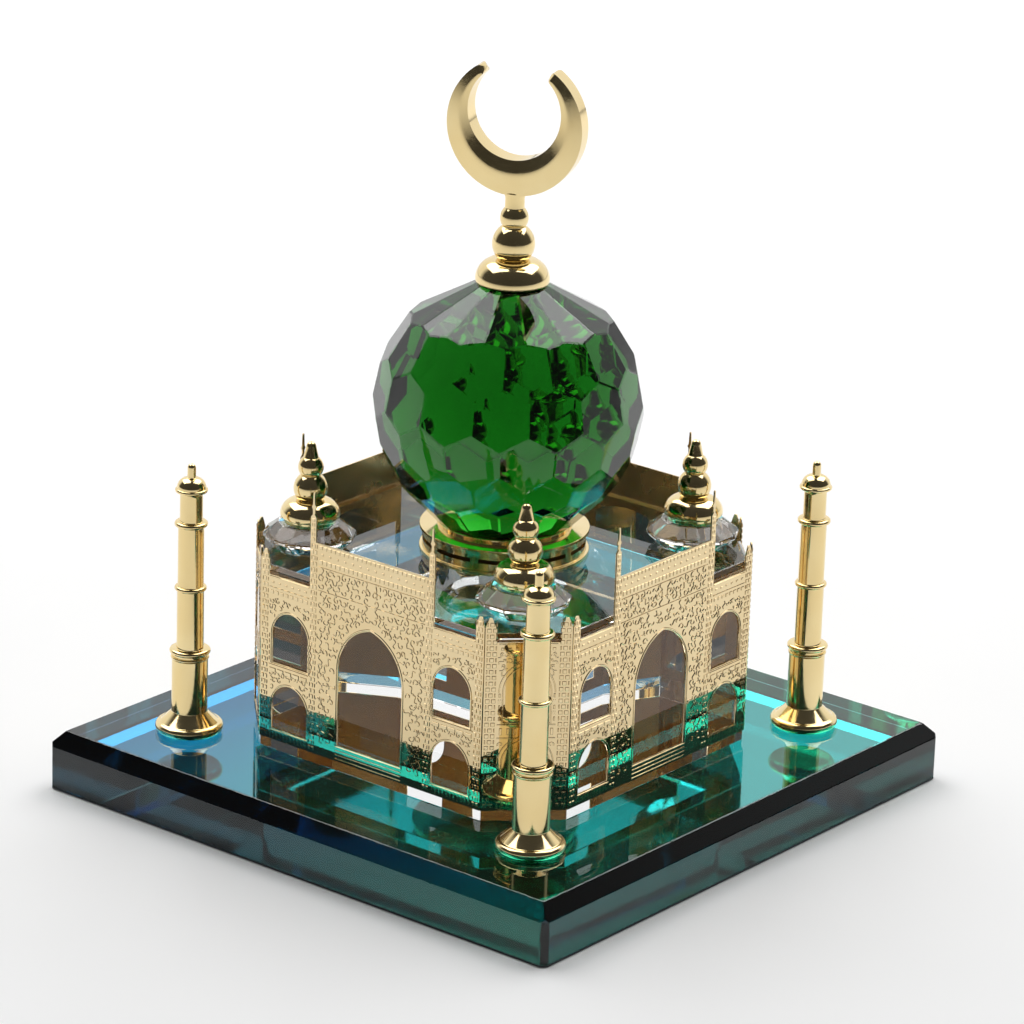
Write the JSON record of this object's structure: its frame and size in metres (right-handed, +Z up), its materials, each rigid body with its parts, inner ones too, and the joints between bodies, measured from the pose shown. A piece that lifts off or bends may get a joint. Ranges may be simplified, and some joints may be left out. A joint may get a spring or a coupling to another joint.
{
  "type": "miniature landmark model",
  "caption": "Desk souvenir of a domed garden tomb: clear crystal hall in etched gilt sheets, green cut-crystal ball dome, crescent finial, corner minarets, mirrored glass base.",
  "frame": {"origin": "centre of the underside of the square base", "axes": "+Z up through the dome, -Y is the front side and +X the right side of the hall"},
  "size_m": [0.12, 0.12, 0.1397],
  "materials": {
    "base_glass": "polished smoky teal plate glass, bevelled edges",
    "mirror_film": "iridescent blue to teal mirror film",
    "clear_crystal": "polished clear crystal",
    "green_crystal": "deep green crystal, flat cut facets",
    "etched_brass": "thin gilt sheet, etched relief, polished",
    "gold_plate": "polished gold plating"
  },
  "bodies": {
    "root": {"base_plate": "base_glass", "mirror_film": "mirror_film", "hall_block": "clear_crystal", "facade_front": "etched_brass", "facade_right": "etched_brass", "facade_back": "etched_brass", "facade_left": "etched_brass", "corner_panel_front_left": "etched_brass", "corner_panel_front_right": "etched_brass", "corner_panel_back_right": "etched_brass", "corner_panel_back_left": "etched_brass", "kiosk_button_front_left": "clear_crystal", "kiosk_button_front_right": "clear_crystal", "kiosk_button_back_right": "clear_crystal", "kiosk_button_back_left": "clear_crystal", "kiosk_finial_front_left": "gold_plate", "kiosk_finial_front_right": "gold_plate", "kiosk_finial_back_right": "gold_plate", "kiosk_finial_back_left": "gold_plate", "dome_collar": "gold_plate", "dome_ball": "green_crystal", "dome_finial": "gold_plate", "crescent": "gold_plate", "minaret_front_left": "gold_plate", "minaret_front_right": "gold_plate", "minaret_back_right": "gold_plate", "minaret_back_left": "gold_plate"}
  },
  "joints": []
}
